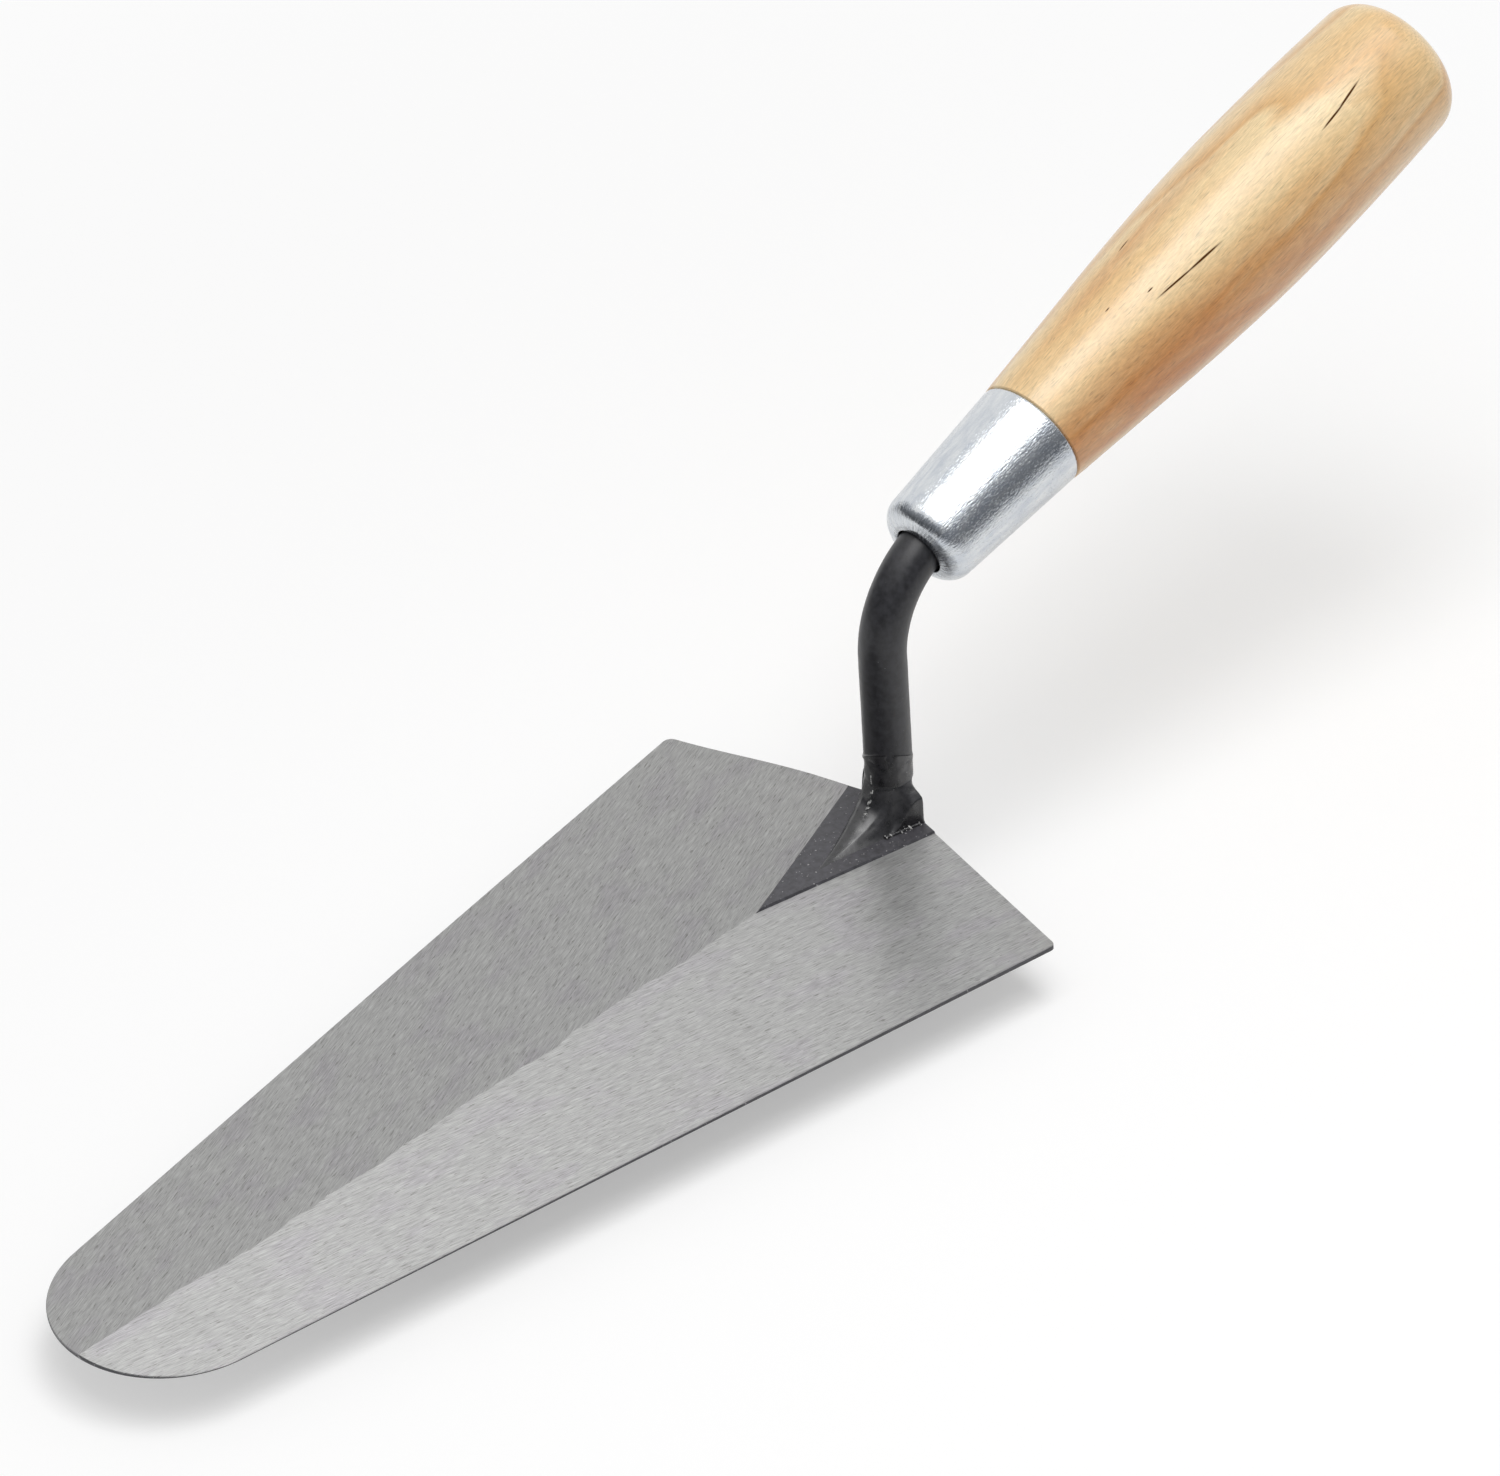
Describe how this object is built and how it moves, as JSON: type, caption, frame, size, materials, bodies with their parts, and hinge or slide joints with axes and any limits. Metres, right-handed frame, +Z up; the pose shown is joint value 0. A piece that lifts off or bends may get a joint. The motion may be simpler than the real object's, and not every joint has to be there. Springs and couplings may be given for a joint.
{
  "type": "gauging trowel",
  "caption": "Mason's hand trowel with a tapered, round-toed steel blade, forged foot, cranked round shank, plated ferrule and turned hardwood handle.",
  "frame": {"origin": "on the blade's flat underside, straight below the axis of the upright shank", "axes": "+X from the shank along the blade to its round toe, +Z up the shank and away from the underside, +Y across the blade; the handle leans back over -X"},
  "size_m": [0.3034, 0.0856, 0.095],
  "materials": {
    "ground_steel": "ground carbon steel with fine lines that run along the sides of the pad",
    "black_steel": "forged steel with a satin black lacquer over scale",
    "zinc_plated_steel": "drawn steel sheet, bright zinc plated, with fine lines along its length",
    "lacquered_hardwood": "turned pale hardwood under clear gloss lacquer"
  },
  "bodies": {
    "root": {"blade": "ground_steel", "foot": "black_steel", "foot_weld": "black_steel", "shank": "black_steel", "seam_weld": "black_steel", "ferrule": "zinc_plated_steel", "handle": "lacquered_hardwood"}
  },
  "joints": []
}
